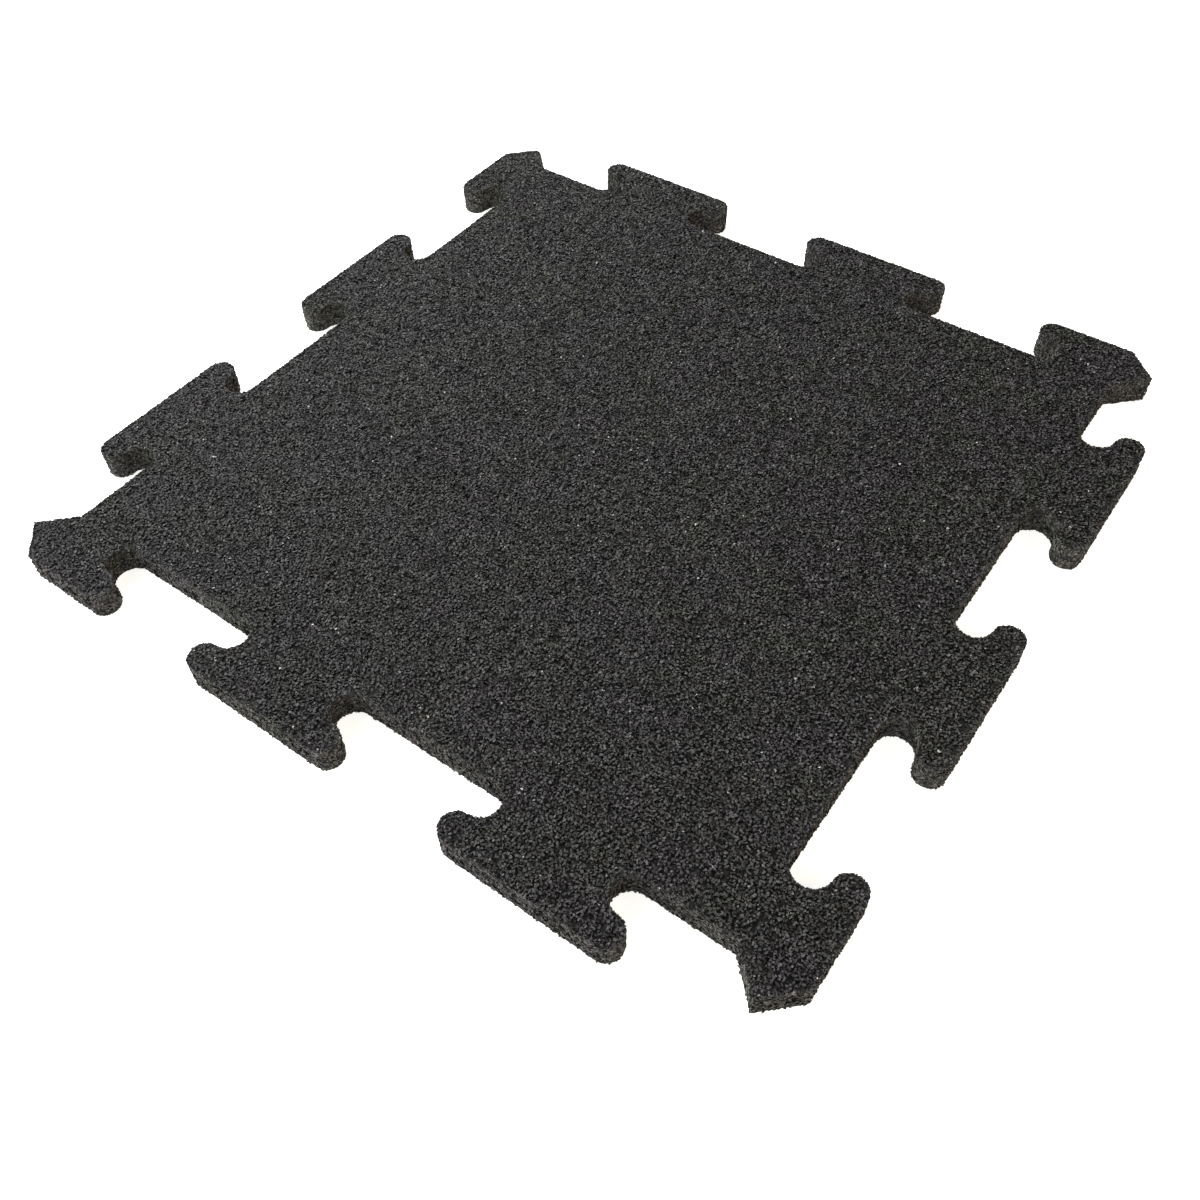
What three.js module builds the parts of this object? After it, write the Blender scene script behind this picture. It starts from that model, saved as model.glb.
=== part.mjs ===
// Interlocking rubber gym floor tile, cut from one sheet of bonded rubber crumb.
// Millimetres, +Z up, origin at the middle of the underside.
//
// The joint line between two laid tiles snakes along the sides of a square of the tile's
// module. The tile starts each side with the tab that holds its corner, and ends it with a
// slot that the next corner's tab is cut back for, so a quarter turn maps the tile onto
// itself and any side locks into any side of another tile.
import * as THREE from "three";

const MODULE = 500; // from one laid tile to the next
const THICKNESS = 19;
const TABS_PER_SIDE = 2; // whole tabs, between the two corners
const TAB_WIDTH = 89.5; // of a tab, and of a slot, on the joint line
const TAB_DEPTH = 40; // from a slot's floor to a tab's end
const LOBE_RADIUS = 10; // of the round heads that lock a tab into a slot
const CORNER_CUT_ANGLE = 45; // degrees between the cut at a corner and the side
const JOINT_GAP = 0.8; // left between two joined tiles by the cutter
const ARC_STEPS = 6; // points on a quarter of a lobe

const RUBBER_BLACK = 0x2b2b2c;

// Half of the gap comes off each tile, so a lobe is smaller than the pocket it sits in.
const setback = JOINT_GAP / 2;
const tabReach = TAB_DEPTH / 2;
const lobeRadius = LOBE_RADIUS - setback;
const pocketRadius = LOBE_RADIUS + setback;

// A lobe lies under the tab's end and a pocket over the slot's floor, one beside the other.
// Where both fit within the tab's depth, they stand in line, and larger ones move apart
// until they only touch.
const lobeOffset = tabReach - LOBE_RADIUS;
const lobeShift = Math.sqrt(Math.max(0, LOBE_RADIUS ** 2 - lobeOffset ** 2));

// The angle at which the outline leaves a lobe, on the straight line that touches both
// the lobe and its pocket.
function leavingAngle() {
  const apart = 2 * Math.hypot(lobeShift, lobeOffset);
  const towardsPocket = Math.atan2(lobeOffset, -lobeShift);
  return towardsPocket - Math.acos(Math.min(1, (lobeRadius + pocketRadius) / apart));
}

// Around a tab's lobe and into the slot's pocket. X runs along the side, -Y points out.
function endTab(path, x) {
  const leaving = leavingAngle();
  path.absarc(x + lobeShift, -lobeOffset, lobeRadius, -Math.PI / 2, leaving, false);
  path.absarc(x - lobeShift, lobeOffset, pocketRadius, leaving + Math.PI, Math.PI / 2, true);
}

// The same in a mirror: out of the slot's pocket and around the next tab's lobe.
function startTab(path, x) {
  const leaving = leavingAngle();
  path.absarc(x + lobeShift, lobeOffset, pocketRadius, Math.PI / 2, -leaving, true);
  path.absarc(x - lobeShift, -lobeOffset, lobeRadius, Math.PI - leaving, 1.5 * Math.PI, false);
}

// One side from its first corner at X = 0 to the next corner's cut, on the joint line Y = 0.
function sideOutline() {
  const angle = THREE.MathUtils.degToRad(CORNER_CUT_ANGLE);
  const sine = Math.sin(angle);
  const cosine = Math.cos(angle);
  const cutAt = (y) => (setback - y * cosine) / sine;
  const tabEnd = setback - tabReach;
  const slotFloor = setback + tabReach;

  const path = new THREE.Path();
  path.moveTo(setback * (sine + cosine), setback * (cosine - sine));
  path.lineTo(cutAt(tabEnd), tabEnd);
  for (let k = -TABS_PER_SIDE; k <= TABS_PER_SIDE; k++) {
    const x = MODULE / 2 + k * TAB_WIDTH;
    if ((k + TABS_PER_SIDE) % 2 === 0) endTab(path, x);
    else startTab(path, x);
  }
  path.lineTo(MODULE + cutAt(slotFloor), slotFloor);
  return path.getPoints(ARC_STEPS);
}

// The four sides, each a quarter turn from the last, without points that repeat.
function tileOutline() {
  const middle = new THREE.Vector2(MODULE / 2, MODULE / 2);
  const side = sideOutline().map((point) => point.sub(middle));
  const points = [];
  for (let quarter = 0; quarter < 4; quarter++) {
    for (const point of side) {
      const turned = point.clone().rotateAround(new THREE.Vector2(), (quarter * Math.PI) / 2);
      const last = points.at(-1);
      if (!last || last.distanceTo(turned) > 0.01) points.push(turned);
    }
  }
  return new THREE.Shape(points);
}

function makeTile() {
  const geometry = new THREE.ExtrudeGeometry(tileOutline(), {
    depth: THICKNESS,
    bevelEnabled: false,
  });
  const material = new THREE.MeshStandardMaterial({
    color: RUBBER_BLACK,
    roughness: 0.85,
    metalness: 0,
  });
  const tile = new THREE.Mesh(geometry, material);
  tile.name = "floor_tile";
  return tile;
}

const floorTile = new THREE.Group();
floorTile.add(makeTile());

export default floorTile;
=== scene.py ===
import math

import bpy
import numpy as np
from mathutils import Matrix, Vector, noise
from mathutils.geometry import delaunay_2d_cdt


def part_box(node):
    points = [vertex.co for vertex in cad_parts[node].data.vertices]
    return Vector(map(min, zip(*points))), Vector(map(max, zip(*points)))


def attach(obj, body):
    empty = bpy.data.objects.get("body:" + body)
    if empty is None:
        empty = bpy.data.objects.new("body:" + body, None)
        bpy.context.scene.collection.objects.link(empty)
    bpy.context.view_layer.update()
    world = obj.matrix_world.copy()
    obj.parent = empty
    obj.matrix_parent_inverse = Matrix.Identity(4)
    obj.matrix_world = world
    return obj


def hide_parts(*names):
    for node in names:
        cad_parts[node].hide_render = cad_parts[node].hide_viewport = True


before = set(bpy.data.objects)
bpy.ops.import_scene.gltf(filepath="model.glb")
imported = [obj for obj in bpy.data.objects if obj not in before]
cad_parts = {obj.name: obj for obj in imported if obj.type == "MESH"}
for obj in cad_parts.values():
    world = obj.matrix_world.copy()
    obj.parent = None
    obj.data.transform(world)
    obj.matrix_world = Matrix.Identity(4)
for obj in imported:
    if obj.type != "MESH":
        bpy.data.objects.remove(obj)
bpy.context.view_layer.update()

# The body of the sheet: old tyres ground to crumb, wetted with polyurethane binder, pressed
# into a slab and cut to its joint line. It is the slab below the outermost granules, which
# are pieces of their own, and it shows between them and on the underside.
MM = 0.001
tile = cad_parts["floor_tile"]
UNDERSIDE_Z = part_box("floor_tile")[0][2]
FACE_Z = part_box("floor_tile")[1][2]
SKIN = 1.1 * MM  # how deep the outermost granules lie in the slab
RIM_SKIN = 0.6 * MM  # the same along its edges, where no light shows through
FOOT_SKIN = 0.85 * MM  # the same at the foot of its walls, which is ragged
WORN_CORNER = (-250 * MM, 249.4 * MM)
WORN_REACH = 5 * MM  # how far its sides are worn away
WORN_POINTS = 6  # around the worn corner
BODY_GRAIN = 2.8 * MM
HIDDEN_GRAIN = 2 * BODY_GRAIN  # of the body's top, which the granules nearly cover
BODY_SHAKE = 0.3  # of a grain, how far the body's crumb lies off an even grid
BODY_ROOM = 0.6  # of a grain, from the body's edge to the nearest crumb inside it
BODY_RELIEF = 0.8 * MM  # from the highest to the lowest crumb of the underside
WALL_ROWS = 6
BODY_SEED = 11
PRESSED_GRAIN = 1.8 * MM  # of the granules in the body's material
PRESSED_RELIEF = 0.5 * MM


def cut_line(node):
    """The closed line around the node's top face, counter-clockwise from above."""
    mesh = node.data
    # Rounded to a micrometre, so that a corner is the same point in every triangle.
    place = [(round(v.co.x, 6), round(v.co.y, 6)) for v in mesh.vertices]
    edges = set()
    for face in mesh.polygons:
        if face.normal.z < 0.9:
            continue
        ring = [place[i] for i in face.vertices]
        for edge in zip(ring, ring[1:] + ring[:1], strict=True):
            if edge[::-1] in edges:
                edges.remove(edge[::-1])
            else:
                edges.add(edge)
    following = dict(edges)
    line = [min(following)]
    while following[line[-1]] != line[0]:
        line.append(following[line[-1]])
    return np.array(line)


def worn(line, place, reach):
    """The line with its corner nearest to place worn round, over that reach of each side."""
    at = int(np.linalg.norm(line - place, axis=1).argmin())
    ends = []
    for other in (line[at - 1], line[(at + 1) % len(line)]):
        side = other - line[at]
        ends.append(line[at] + side / np.linalg.norm(side) * reach)
    share = np.linspace(0, 1, WORN_POINTS)[:, None]
    bend = (1 - share) ** 2 * ends[0] + 2 * share * (1 - share) * line[at] + share**2 * ends[1]
    return np.concatenate([line[:at], bend, line[at + 1 :]])


def outward(steps):
    """Unit vectors that point out of a counter-clockwise line, from its steps."""
    out = np.stack([steps[:, 1], -steps[:, 0]], 1)
    return out / np.linalg.norm(out, axis=1, keepdims=True)


def inset(line, depth):
    """The line moved into the tile by depth, with its corners mitred."""
    after = outward(np.roll(line, -1, 0) - line)
    before = np.roll(after, 1, 0)
    mitre = before + after
    mitre *= 2 / (mitre**2).sum(1, keepdims=True)
    return line - depth * mitre


def divided(line, step):
    """The closed line with points added, so that none are further apart than step."""
    points = []
    for here, there in zip(line, np.roll(line, -1, 0), strict=True):
        count = max(1, math.ceil(np.linalg.norm(there - here) / step - 1e-6))
        points.extend(here + (there - here) * i / count for i in range(count))
    return np.array(points)


def depth_inside(points, line):
    """How deep each point lies inside the line, and the direction of its nearest edge."""
    step = np.roll(line, -1, 0) - line
    end_y = line[:, 1] + step[:, 1]
    slope = step[:, 0] / np.where(step[:, 1] == 0, 1, step[:, 1])
    depth = np.empty(len(points))
    towards = np.empty((len(points), 2))
    # A few thousand points at a time, to spare the memory.
    for part in np.array_split(np.arange(len(points)), len(points) // 4000 + 1):
        gap = points[part, None] - line
        share = (gap * step).sum(-1) / (step**2).sum(-1)
        off = gap - np.clip(share, 0, 1)[..., None] * step
        nearest = off[np.arange(len(part)), (off**2).sum(-1).argmin(1)]
        x, y = points[part, 0, None], points[part, 1, None]
        across = (line[:, 1] > y) != (end_y > y)
        right = x < line[:, 0] + (y - line[:, 1]) * slope
        inside = (across & right).sum(1) % 2 == 1
        depth[part] = np.linalg.norm(nearest, axis=1) * np.where(inside, 1, -1)
        towards[part] = -nearest / (depth[part, None] + 1e-12)
    return depth, towards


def shaken_grid(rows, columns, spacing, shake, rng):
    """Points poured in a layer: a triangular grid that leans over, with each point shaken."""
    row, column = np.indices((rows, columns))
    grid = np.stack([(column + row / 2) * spacing, row * spacing * math.sqrt(0.75)], -1)
    return grid + rng.uniform(-shake, shake, grid.shape) * spacing


def poured_over(line, spacing, shake, rng):
    """The same over the box around a line, with the grid's lean taken up on the left."""
    low, high = line.min(0), line.max(0)
    rows = math.ceil((high - low)[1] / spacing / math.sqrt(0.75)) + 2
    columns = math.ceil((high - low)[0] / spacing) + rows // 2 + 3
    grid = shaken_grid(rows, columns, spacing, shake, rng) + low
    grid[..., 0] -= (rows // 2 + 1) * spacing
    return grid


def flat_mesh(name, vertices, triangles):
    """A mesh of triangles from two arrays."""
    mesh = bpy.data.meshes.new(name)
    mesh.vertices.add(len(vertices))
    mesh.vertices.foreach_set("co", np.asarray(vertices, np.float32).ravel())
    mesh.loops.add(3 * len(triangles))
    mesh.loops.foreach_set("vertex_index", np.asarray(triangles, np.int32).ravel())
    mesh.polygons.add(len(triangles))
    mesh.polygons.foreach_set("loop_start", np.arange(len(triangles), dtype=np.int32) * 3)
    mesh.update(calc_edges=True)
    mesh.validate()
    mesh.shade_flat()
    return mesh


def capped(ring, grain, rng):
    """Triangles over the area in the ring, which comes first in the vertices."""
    loose = poured_over(ring, grain, BODY_SHAKE, rng).reshape(-1, 2)
    within = (loose >= ring.min(0)).all(1) & (loose <= ring.max(0)).all(1)
    loose = loose[within]
    loose = loose[depth_inside(loose, ring)[0] > BODY_ROOM * grain]
    places = [Vector(p) for p in np.concatenate([ring, loose]).tolist()]
    edges = [(i, (i + 1) % len(ring)) for i in range(len(ring))]
    # The 1 keeps only the triangles inside the ring.
    found = delaunay_2d_cdt(places, edges, [list(range(len(ring)))], 1, 1e-7)
    return np.array([v[:] for v in found[0]]), np.array(found[2])


cut = worn(cut_line(tile), WORN_CORNER, WORN_REACH)
body_rng = np.random.default_rng(BODY_SEED)
body_ring = divided(inset(cut, RIM_SKIN), BODY_GRAIN)


def body_mesh():
    """The underside, the hidden top and the walls, all with ragged crumb."""
    count = len(body_ring)
    vertices, triangles = [], []
    base = 0
    for z, up in ((UNDERSIDE_Z, False), (FACE_Z - SKIN, True)):
        flat, faces = capped(body_ring, HIDDEN_GRAIN if up else BODY_GRAIN, body_rng)
        high = body_rng.uniform(0, BODY_RELIEF, len(flat))
        if up:
            high[:count] = RIM_SKIN - SKIN
        else:
            flat[:count] = inset(flat[:count], FOOT_SKIN - RIM_SKIN)
        vertices.append(np.column_stack([flat, z - high if up else z + high]))
        triangles.append((faces if up else faces[:, ::-1]) + base)
        base += len(flat)
    under, over = vertices[0][:count], vertices[1][:count]
    out = outward(np.roll(body_ring, -1, 0) - np.roll(body_ring, 1, 0))
    rows = [np.arange(count)]
    for row in range(1, WALL_ROWS):
        level = under + (over - under) * row / WALL_ROWS
        level[:, :2] -= out * body_rng.uniform(0, BODY_RELIEF, (count, 1))
        vertices.append(level)
        rows.append(np.arange(count) + base)
        base += count
    rows.append(np.arange(count) + len(vertices[0]))
    for low, high in zip(rows, rows[1:], strict=False):
        low_next, high_next = np.roll(low, -1), np.roll(high, -1)
        triangles.append(np.column_stack([low, low_next, high_next]))
        triangles.append(np.column_stack([low, high_next, high]))
    mesh = flat_mesh("sheet_body", np.concatenate(vertices), np.concatenate(triangles))
    # The hidden top takes the second material, which is darkened with painted shade.
    painted_shade_faces = np.zeros(len(mesh.polygons), np.int32)
    painted_shade_faces[len(triangles[0]) :][: len(triangles[1])] = 1
    mesh.polygons.foreach_set("material_index", painted_shade_faces)
    return mesh


def linear(sheet_hex):
    """An sRGB hex colour as linear RGBA."""
    parts = [int(sheet_hex[i : i + 2], 16) / 255 for i in (0, 2, 4)]
    return (*((c / 12.92 if c < 0.04045 else ((c + 0.055) / 1.055) ** 2.4) for c in parts), 1)


def add_node(tree, kind, inputs=None, **settings):
    """Adds a node with its settings. An input is a value, or another node's output."""
    node = tree.nodes.new(kind)
    for name, value in settings.items():
        setattr(node, name, value)
    for name, value in (inputs or {}).items():
        if isinstance(value, bpy.types.NodeSocket):
            tree.links.new(value, node.inputs[name])
        else:
            node.inputs[name].default_value = value
    return node


def shade_steps(ramp_node, shades):
    """Fills a colour ramp with (share, hex) steps, each from where the last one ends."""
    ramp = ramp_node.color_ramp
    ramp.interpolation = "CONSTANT"
    total = sum(share for share, _ in shades)
    at = 0
    for i, (share, shade) in enumerate(shades):
        stop = ramp.elements[i] if i < 2 else ramp.elements.new(at)
        stop.position = at
        stop.color = linear(shade)
        at += share / total


def bonded_crumb(name, shades):
    """Crumb rubber, bonded and pressed. It looks matt and nearly black, with each granule its
    own shade and round at its edge, under a glaze of binder too thin to shine."""
    material = bpy.data.materials.new(name)
    material.use_nodes = True
    tree = material.node_tree
    tree.nodes.clear()
    place = add_node(tree, "ShaderNodeTexCoord").outputs["Object"]
    grain = add_node(tree, "ShaderNodeTexVoronoi",
                     {"Vector": place, "Scale": 1 / PRESSED_GRAIN, "Randomness": 1.0})
    tone = add_node(tree, "ShaderNodeSeparateColor", {"Color": grain.outputs["Color"]})
    shade = add_node(tree, "ShaderNodeValToRGB", {"Fac": tone.outputs["Red"]})
    shade_steps(shade, shades)
    bump = add_node(tree, "ShaderNodeBump",
                    {"Height": grain.outputs["Distance"], "Distance": PRESSED_RELIEF,
                     "Strength": 1.0}, invert=True)
    surface = add_node(tree, "ShaderNodeBsdfPrincipled",
                       {"Base Color": shade.outputs["Color"], "Roughness": 0.85,
                        "Specular IOR Level": 0.25, "Normal": bump.outputs["Normal"]})
    add_node(tree, "ShaderNodeOutputMaterial", {"Surface": surface.outputs["BSDF"]})
    return material


body = bpy.data.objects.new("sheet_body", body_mesh())
bpy.context.scene.collection.objects.link(body)
body.data.materials.append(bonded_crumb("bonded_crumb_rubber", [
    (5, "1a1a1a"), (4, "242424"), (2, "303030"), (1, "403f3c")]))
# Under the granules little light gets in, so the crumb there is drawn darker than it is.
body.data.materials.append(bonded_crumb("shaded_crumb_rubber", [
    (5, "070707"), (4, "0c0c0c"), (2, "131312")]))
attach(body, "root")
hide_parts("floor_tile")

# The outermost granules: chips of tyre rubber 1 to 3 mm across, pressed side by side into the
# top face, and cut through or torn out along the walls. Each is a closed lump that tapers
# into the body. They are dealt out by the part of the tyre that they came from.
GRAIN = 1.58 * MM  # from one granule's middle to the next
GRAIN_SIDES = 5
GRAIN_TURN = 0.35  # radians, how far each corner lies off an even spacing
GRAIN_OVERLAP = 1.03  # of the way to the neighbours, so that most touch
GRAIN_ROOT = 1.7 * MM  # from a granule's face to the tip of its root
GRAIN_DROP = 0.45 * MM  # the most that a corner of its face lies below the rest
SHAKE = 0.42  # of a grain, how far the granules lie off an even grid
WEIGHT_SPREAD = 0.9  # larger makes large granules larger, and small ones smaller
LARGEST = 0.9  # of a grain, the furthest that a granule reaches
SMALLEST = 0.30  # of a grain, a granule's mean reach. Smaller ones have fallen out
SMALLEST_AT_EDGE = 0.2  # the same along the cut, which slices through granules
EDGE_BAND = 1.5 * GRAIN  # along the cut, where granules lie higher and more are torn out
EDGE_ROOM = 0.45  # of a grain, from the cut to the middle of the nearest granules
EDGE_OVER = 0.4  # of a grain, how far beyond the cut the middle of a sliced one may lie
EDGE_GAP = 0.1 * MM  # kept between a granule and the edge that it faces
GLANCING = 0.05  # a corner that faces an edge less than this doesn't meet it
CLUMP = 4.5 * MM  # hollows and rises in the pressed face
DEEPEST = 0.85  # of the skin, how deep a granule may sink
FACE_TILT = math.radians(18)
FACE_LOST = 0.02  # share of the face's granules that are torn out
EDGE_LOST = 0.06
HOLLOW_LOST = 0.5  # more are lost where the face is hollow
WALL_TILT = math.radians(16)
WALL_LOST = 0.05
FOOT_LOST = 0.1
FOOT_RAGGED = 0.3 * MM  # how far above the floor the lowest granules may end
FINES = 0.95 * MM  # crumb stuck to the granules. Real fines are smaller, and wouldn't show
PORE = 1.5 * FINES  # pinholes, drawn coarser than they are for the same reason
PORE_DEPTH = 0.6 * MM
DUST_PATCH = 5 * MM
STAIN = 28 * MM
NEIGHBOURS = [(i, j) for i in range(-2, 3) for j in range(-2, 3)
              if (i, j) != (0, 0) and abs(i + j) <= 2]
MOST_GRAINS = 24_800  # in a mesh
PALE_SHARE = 0.05  # of the face's granules, all of them small
SMALL_SHARE = 0.4  # of the face's granules, those that count as small
CRUMB_SEED = 7


def clumps(points, size):
    """Smooth noise at each point, mostly between -0.5 and 0.5, in lumps of that size."""
    return np.array([noise.noise(Vector(point) / size) for point in points])


def grown(sites, there, rng, period=np.inf):
    """How far each granule reaches in each direction before it meets its neighbours."""
    angle = np.arange(GRAIN_SIDES) * 2 * math.pi / GRAIN_SIDES
    angle = angle + rng.uniform(0, 2 * math.pi, there.shape)[..., None]
    angle += rng.uniform(-GRAIN_TURN, GRAIN_TURN, angle.shape)
    way = np.stack([np.cos(angle), np.sin(angle)], -1)
    weight = rng.uniform(0, WEIGHT_SPREAD, there.shape) * GRAIN**2
    reach = np.full(angle.shape, LARGEST * GRAIN)
    for i, j in NEIGHBOURS:
        gap = np.roll(sites, (i, j), (0, 1)) - sites
        if np.isfinite(period):
            gap[..., 0] = (gap[..., 0] + period / 2) % period - period / 2
        half = ((gap**2).sum(-1) + weight - np.roll(weight, (i, j), (0, 1))) / 2
        along = (gap[..., None, :] * way).sum(-1)
        meets = (along > 0) & np.roll(there, (i, j), (0, 1))[..., None]
        limit = half[..., None] / np.where(meets, along, 1)
        reach = np.where(meets, np.minimum(reach, limit), reach)
    return way, np.maximum(reach, 0)


def stopped(reach, facing, room):
    """The reaches cut short where they face an edge that is that much room away."""
    limit = (room[..., None] - EDGE_GAP) / np.maximum(facing, GLANCING)
    return np.minimum(reach, np.where(facing > GLANCING, limit / GRAIN_OVERLAP, np.inf))


def lumps(middle, right, up, out, way, reach, sunk, tilt, rng):
    """Vertices of granules: each has a ring around its face, and a root in the body."""
    arm = way * (reach * GRAIN_OVERLAP)[..., None]
    rise = (arm * np.tan(tilt)[:, None]).sum(-1)
    drop = rng.uniform(0, GRAIN_DROP, reach.shape)
    height = np.minimum(rise - sunk[:, None] - drop, 0)
    rim = (middle[:, None] + arm[..., :1] * right[:, None] + arm[..., 1:] * up[:, None]
           + height[..., None] * out[:, None])
    root = middle - out * (sunk + GRAIN_ROOT)[:, None]
    return np.concatenate([rim, root[:, None]], 1)


def trimmed(made):
    """The same granules, with what stands proud of the cut brought back to it."""
    flat = made[:, :, :2].reshape(-1, 2)
    depth, edge = depth_inside(flat, cut)
    proud = depth < 0
    flat[proud] += edge[proud] * depth[proud, None]
    made[:, :, :2] = flat.reshape(len(made), -1, 2)
    return made


def face_grains(rng):
    """Granules of the top face. Those that the cut slices are moved in to lie along it."""
    grid = poured_over(cut, GRAIN, SHAKE, rng)
    flat = grid.reshape(-1, 2)
    near = (np.abs(flat) < np.abs(cut).max() + GRAIN).all(1)
    depth, edge = np.full(len(flat), -1.0), np.zeros_like(flat)
    depth[near], edge[near] = depth_inside(flat[near], cut)
    room = EDGE_ROOM * GRAIN
    close = (depth < room) & (depth > -EDGE_OVER * GRAIN)
    flat[close] -= edge[close] * (room - depth[close])[:, None]
    depth[close] = room
    grid = flat.reshape(grid.shape)
    depth, edge = depth.reshape(grid.shape[:2]), edge.reshape(grid.shape)
    there = depth >= room
    way, reach = grown(grid, there, rng)
    reach = stopped(reach, (way * edge[..., None, :]).sum(-1), depth)
    smallest = np.where(depth < EDGE_BAND, SMALLEST_AT_EDGE, SMALLEST) * GRAIN
    there &= reach.mean(-1) > smallest
    way, reach, place, depth = way[there], reach[there], grid[there], depth[there]
    middle = np.column_stack([place, np.full(len(place), FACE_Z)])
    hollow = np.maximum(clumps(middle, CLUMP), 0)
    lost = np.where(depth < EDGE_BAND, EDGE_LOST, FACE_LOST)
    lost = lost + HOLLOW_LOST * np.maximum(hollow - 0.25, 0)
    kept = rng.random(len(place)) > lost
    way, reach, middle, hollow = way[kept], reach[kept], middle[kept], hollow[kept]
    count = len(middle)
    axes = np.broadcast_to(np.eye(3), (count, 3, 3))
    outer = depth[kept] < EDGE_BAND
    # Most granules lie close under the face, and a few lie deep.
    sunk = SKIN * np.minimum(0.65 * rng.beta(1.1, 3.2, count) + hollow, DEEPEST)
    sunk[outer] *= 0.5
    tilt = rng.normal(0, FACE_TILT, (count, 2))
    made = lumps(middle, axes[:, 0], axes[:, 1], axes[:, 2], way, reach, sunk, tilt, rng)
    made[outer] = trimmed(made[outer])
    return made


def wall_grains(rng):
    """Granules of the cut walls, laid on the walls unrolled along the cut."""
    step = np.roll(cut, -1, 0) - cut
    length = np.linalg.norm(step, axis=1)
    run = np.concatenate([[0], np.cumsum(length)])
    columns = round(run[-1] / GRAIN)
    spacing = run[-1] / columns
    thick = FACE_Z - UNDERSIDE_Z
    rows = math.ceil(thick / spacing / math.sqrt(0.75)) + 1
    grid = shaken_grid(rows, columns, spacing, SHAKE, rng)
    grid[..., 0] %= run[-1]
    room = EDGE_ROOM * GRAIN
    over = EDGE_OVER * GRAIN
    there = (grid[..., 1] > -over) & (grid[..., 1] < thick + over)
    grid[..., 1] = np.clip(grid[..., 1], room, thick - room)
    way, reach = grown(grid, there, rng, period=run[-1])
    reach = stopped(reach, way[..., 1], thick - grid[..., 1])
    foot = rng.uniform(0, FOOT_RAGGED, there.shape)
    reach = stopped(reach, -way[..., 1], grid[..., 1] - foot)
    lost = np.where(grid[..., 1] < GRAIN, FOOT_LOST, WALL_LOST)
    there &= (rng.random(there.shape) > lost) & (reach.mean(-1) > SMALLEST * GRAIN)
    way, reach, place = way[there], reach[there], grid[there]
    count = len(place)
    part = np.clip(np.searchsorted(run, place[:, 0], side="right") - 1, 0, len(cut) - 1)
    right = np.column_stack([step[part] / length[part, None], np.zeros(count)])
    out = np.column_stack([outward(step)[part], np.zeros(count)])
    up = np.broadcast_to([0.0, 0.0, 1.0], (count, 3))
    middle = np.column_stack([cut[part], place[:, 1] + UNDERSIDE_Z])
    middle += right * (place[:, 0] - run[part])[:, None]
    torn = np.maximum(clumps(middle, CLUMP), 0)
    # The cut tears at the granules of a wall, so they lie a little deeper than the face's.
    sunk = SKIN * np.minimum(0.7 * rng.beta(1.4, 2.6, count) + torn, DEEPEST)
    tilt = rng.normal(0, WALL_TILT, (count, 2))
    return trimmed(lumps(middle, right, up, out, way, reach, sunk, tilt, rng))


def grain_mesh(name, made):
    """One mesh of many granules. Its map gives each granule a place of its own, and an
    attribute that is 0 on a granule's face and 1 at its root sets the painted shade down its
    crevices."""
    sides = GRAIN_SIDES
    fan = [(0, k, k + 1) for k in range(1, sides - 1)]
    cone = [(sides, (k + 1) % sides, k) for k in range(sides)]
    count = len(made)
    triangles = np.array(fan + cone) + np.arange(count)[:, None, None] * (sides + 1)
    mesh = flat_mesh(name, made.reshape(-1, 3), triangles.reshape(-1, 3))
    # The map's cells stand in rows, each with a face on its left and a root on its right.
    across = math.ceil(math.sqrt(count / 2))
    cell = np.stack([np.arange(count) % across, np.arange(count) // across], 1)
    cell_size = np.array([1 / across, 1 / math.ceil(count / across)])
    turn = np.arange(sides) * 2 * math.pi / sides
    ring = np.column_stack([np.cos(turn), np.sin(turn)]) * (0.22, 0.42)
    root_at = (0.75, 0.5)
    face_map = ring + (0.25, 0.5)
    root_map = np.concatenate([ring + root_at, [root_at]])
    spots = np.concatenate([face_map[fan].reshape(-1, 2), root_map[cone].reshape(-1, 2)])
    uv = (cell[:, None] + spots) * cell_size
    layer = mesh.uv_layers.new(name="OFBake")
    layer.uv.foreach_set("vector", uv.astype(np.float32).ravel())
    crevice_shade = mesh.attributes.new("crevice_shade", "FLOAT", "POINT")
    crevice_shade.data.foreach_set("value", np.tile([0.0] * sides + [1.0], count))
    return mesh


def scaled(tree, colour, amount):
    """A colour times an amount, or times another colour."""
    product = add_node(tree, "ShaderNodeMix", {"Factor": 1.0},
                       data_type="RGBA", blend_type="MULTIPLY")
    tree.links.new(colour, product.inputs["A"])
    tree.links.new(amount, product.inputs["B"])
    return product.outputs["Result"]


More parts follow.
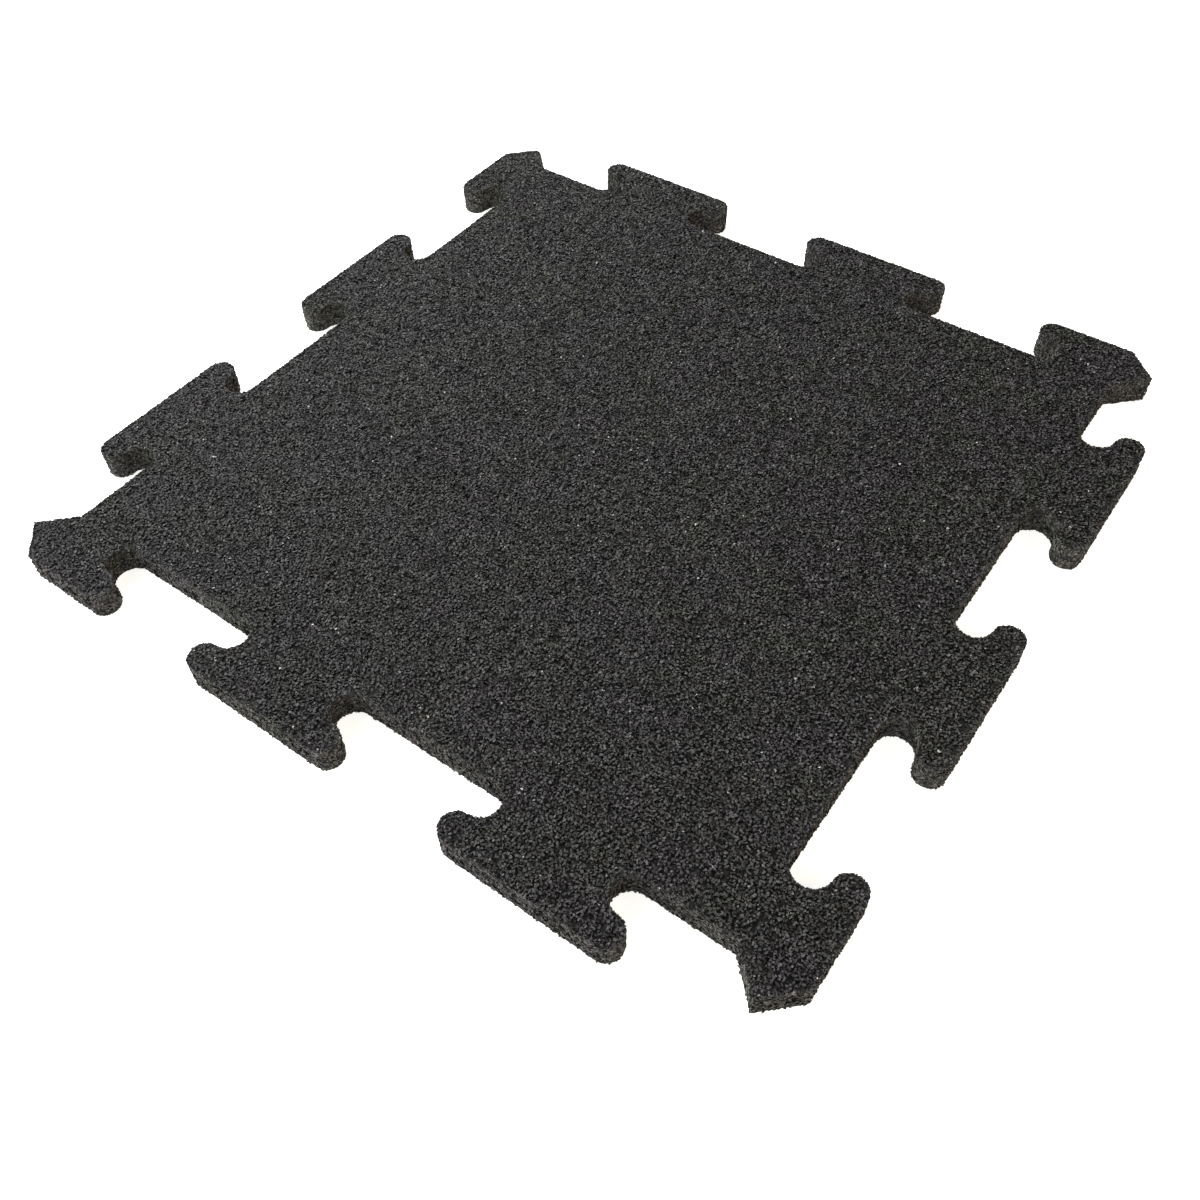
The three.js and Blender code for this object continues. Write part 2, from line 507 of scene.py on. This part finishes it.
def tyre_crumb(name, shades, pit_shade, roughness, gloss):
    """Ground tyre rubber: each granule its own shade of the part of the tyre it came from,
    dustier in some patches than in others, where the binder shows warm or cool. Its pores
    and the crevices around it are darkened with painted shade, each to a set share of its
    colour, so the face looks open."""
    material = bpy.data.materials.new(name)
    material.use_nodes = True
    tree = material.node_tree
    tree.nodes.clear()
    place = add_node(tree, "ShaderNodeTexCoord").outputs["Object"]
    chip = add_node(tree, "ShaderNodeNewGeometry").outputs["Random Per Island"]
    shade = add_node(tree, "ShaderNodeValToRGB", {"Fac": chip})
    shade_steps(shade, shades)
    dust = add_node(tree, "ShaderNodeTexNoise",
                    {"Vector": place, "Scale": 1 / DUST_PATCH, "Detail": 2.0})
    fines = add_node(tree, "ShaderNodeTexVoronoi", {"Vector": place, "Scale": 1 / FINES})
    fine_tone = add_node(tree, "ShaderNodeSeparateColor", {"Color": fines.outputs["Color"]})
    pinhole = add_node(tree, "ShaderNodeTexNoise",
                       {"Vector": place, "Scale": 1 / PORE, "Detail": 1.0})
    crevice_shade = add_node(tree, "ShaderNodeAttribute", attribute_name="crevice_shade")
    stain = add_node(tree, "ShaderNodeTexNoise",
                     {"Vector": place, "Scale": 1 / STAIN, "Detail": 1.0})
    tint = add_node(tree, "ShaderNodeValToRGB", {"Fac": stain.outputs["Fac"]})
    tint.color_ramp.elements[0].position = 0.38
    tint.color_ramp.elements[0].color = linear("fffafe")
    tint.color_ramp.elements[1].position = 0.62
    tint.color_ramp.elements[1].color = linear("fdfff5")
    colour = scaled(tree, shade.outputs["Color"], tint.outputs["Color"])
    # Each pattern, the part of its range that counts, and what that multiplies the colour by.
    for value, start, end, low, high in (
        (dust.outputs["Fac"], 0.33, 0.67, 0.8, 1.3),
        (fine_tone.outputs["Red"], 0.0, 1.0, 0.6, 1.45),
        # The pinholes and the crevices carry painted shade.
        (pinhole.outputs["Fac"], 0.43, 0.49, pit_shade, 1.0),
        (crevice_shade.outputs["Fac"], 0.0, 0.3, 1.0, pit_shade),
    ):
        amount = add_node(tree, "ShaderNodeMapRange",
                          {"Value": value, "From Min": start, "From Max": end,
                           "To Min": low, "To Max": high})
        colour = scaled(tree, colour, amount.outputs["Result"])
    bump = add_node(tree, "ShaderNodeBump",
                    {"Height": pinhole.outputs["Fac"], "Distance": PORE_DEPTH,
                     "Strength": 1.0})
    surface = add_node(tree, "ShaderNodeBsdfPrincipled",
                       {"Base Color": colour, "Roughness": roughness,
                        "Specular IOR Level": gloss, "Normal": bump.outputs["Normal"]})
    add_node(tree, "ShaderNodeOutputMaterial", {"Surface": surface.outputs["BSDF"]})
    return material


def deal_out(made, sorts):
    """Makes the pieces of each sort, from its share of the granules."""
    start = 0
    for sort, (share, shades, surface) in sorts.items():
        end = start + round(share * len(made))
        material = tyre_crumb(f"{sort}_rubber", shades, **surface)
        pieces = math.ceil((end - start) / MOST_GRAINS)
        for number, part in enumerate(np.array_split(made[start:end], pieces)):
            crumb = bpy.data.objects.new(f"{sort}_{number + 1}", grain_mesh(sort, part))
            bpy.context.scene.collection.objects.link(crumb)
            crumb.data.materials.append(material)
            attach(crumb, "root")
            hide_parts("floor_tile")
        start = end


crumb_rng = np.random.default_rng(CRUMB_SEED)
face_crumb = face_grains(crumb_rng)
wall_crumb = wall_grains(crumb_rng)
crumb_rng.shuffle(face_crumb)
crumb_rng.shuffle(wall_crumb)
# The last granules are dealt out as the pale ones, so small ones are moved there.
width = np.linalg.norm(np.ptp(face_crumb[:, :-1], axis=1), axis=-1)
small = np.flatnonzero(width < np.quantile(width, SMALL_SHARE))
is_pale = np.isin(np.arange(len(width)), small[: round(PALE_SHARE * len(width))])
# Tread is the hardest and has a faint sheen. Sidewall is duller and a little lighter. Pale
# chips show as flecks. Cut rubber is lighter than either face, and its pores and crevices
# get much lighter painted shade.
deal_out(face_crumb[np.argsort(is_pale, kind="stable")], {
    "tread_crumb": (0.53, [(4, "343435"), (4, "3c3c3d"), (2, "444445")],
                    {"pit_shade": 0.02, "roughness": 0.6, "gloss": 0.15}),
    "sidewall_crumb": (0.42, [(4, "3c3c3d"), (4, "434344"), (2, "4b4b4c")],
                       {"pit_shade": 0.02, "roughness": 0.85, "gloss": 0.1}),
    "pale_crumb": (PALE_SHARE, [(70, "585858"), (20, "727272"), (6, "919191"), (1, "b2b2b1")],
                   {"pit_shade": 0.02, "roughness": 0.9, "gloss": 0.12}),
})
deal_out(wall_crumb, {
    "cut_crumb": (1.0, [(4, "494846"), (4, "504f4c"), (2, "5a5854")],
                  {"pit_shade": 0.2, "roughness": 0.9, "gloss": 0.15}),
})

# The floor and the light: a matt white table that is lit from below and so stays white, with
# a faint cream cast where the tile shades it. A large soft window lights it from the left,
# and three weaker soft boxes fill the shade.
FLOOR_SIZE = 40  # metres, so that its edge is far off in low views
bpy.ops.mesh.primitive_plane_add(size=FLOOR_SIZE, location=(0, 0, UNDERSIDE_Z))
floor = bpy.context.object
floor.name = "floor"
white = bpy.data.materials.new("matt_white_table")
white.use_nodes = True
table_top = white.node_tree.nodes["Principled BSDF"].inputs
table_top["Base Color"].default_value = linear("eeeeee")
table_top["Roughness"].default_value = 0.9
table_top["Emission Color"].default_value = linear("fffefa")
table_top["Emission Strength"].default_value = 0.84
floor.data.materials.append(white)

world = bpy.data.worlds.new("studio")
world.use_nodes = True
backdrop = world.node_tree.nodes["Background"].inputs
backdrop["Color"].default_value = (1, 1, 1, 1)
backdrop["Strength"].default_value = 0.08
bpy.context.scene.world = world


def soft_light(name, place, size, watts, colour):
    """A square soft box that faces the middle of the tile's underside."""
    lamp = bpy.data.lights.new(name, "AREA")
    lamp.shape = "SQUARE"
    lamp.size = size
    lamp.energy = watts
    lamp.color = colour
    light = bpy.data.objects.new(name, lamp)
    light.location = place
    light.rotation_euler = (-Vector(place)).to_track_quat("-Z", "Y").to_euler()
    bpy.context.scene.collection.objects.link(light)


soft_light("window", (-1.3, 0.5, 1.1), 1.2, 60, (1, 1, 1))
soft_light("left_fill", (-1.2, -1.2, 0.9), 1.2, 36, (0.96, 0.98, 1))
soft_light("front_fill", (0.2, -1.8, 0.8), 1.5, 19, (0.96, 0.98, 1))
soft_light("right_fill", (1.5, 0.2, 1.0), 1.2, 15, (1, 0.85, 0.6))

# The camera: where the photograph was taken from, worked out from the tile's outline in it.
# The photograph is a little off the middle of what the lens saw, so the lens is shifted.
CAMERA_PLACE = Vector((0.3125, -0.4376, 0.5288))
CAMERA_AIM = Vector((0.0543, -0.1066, 0.0095))
CAMERA_LEAN = math.radians(-2.31)
camera = bpy.data.objects.new("camera", bpy.data.cameras.new("camera"))
camera.data.lens = 35.38
camera.data.sensor_width = 36
camera.data.shift_x = 0.0132
camera.data.shift_y = 0.0040
camera.data.clip_start = 0.01
level = (CAMERA_AIM - CAMERA_PLACE).to_track_quat("-Z", "Y").to_matrix()
lean = Matrix.Rotation(CAMERA_LEAN, 3, "Z")
camera.matrix_world = Matrix.Translation(CAMERA_PLACE) @ (level @ lean).to_4x4()
bpy.context.scene.collection.objects.link(camera)
bpy.context.scene.camera = camera
bpy.context.scene.view_settings.view_transform = "Standard"
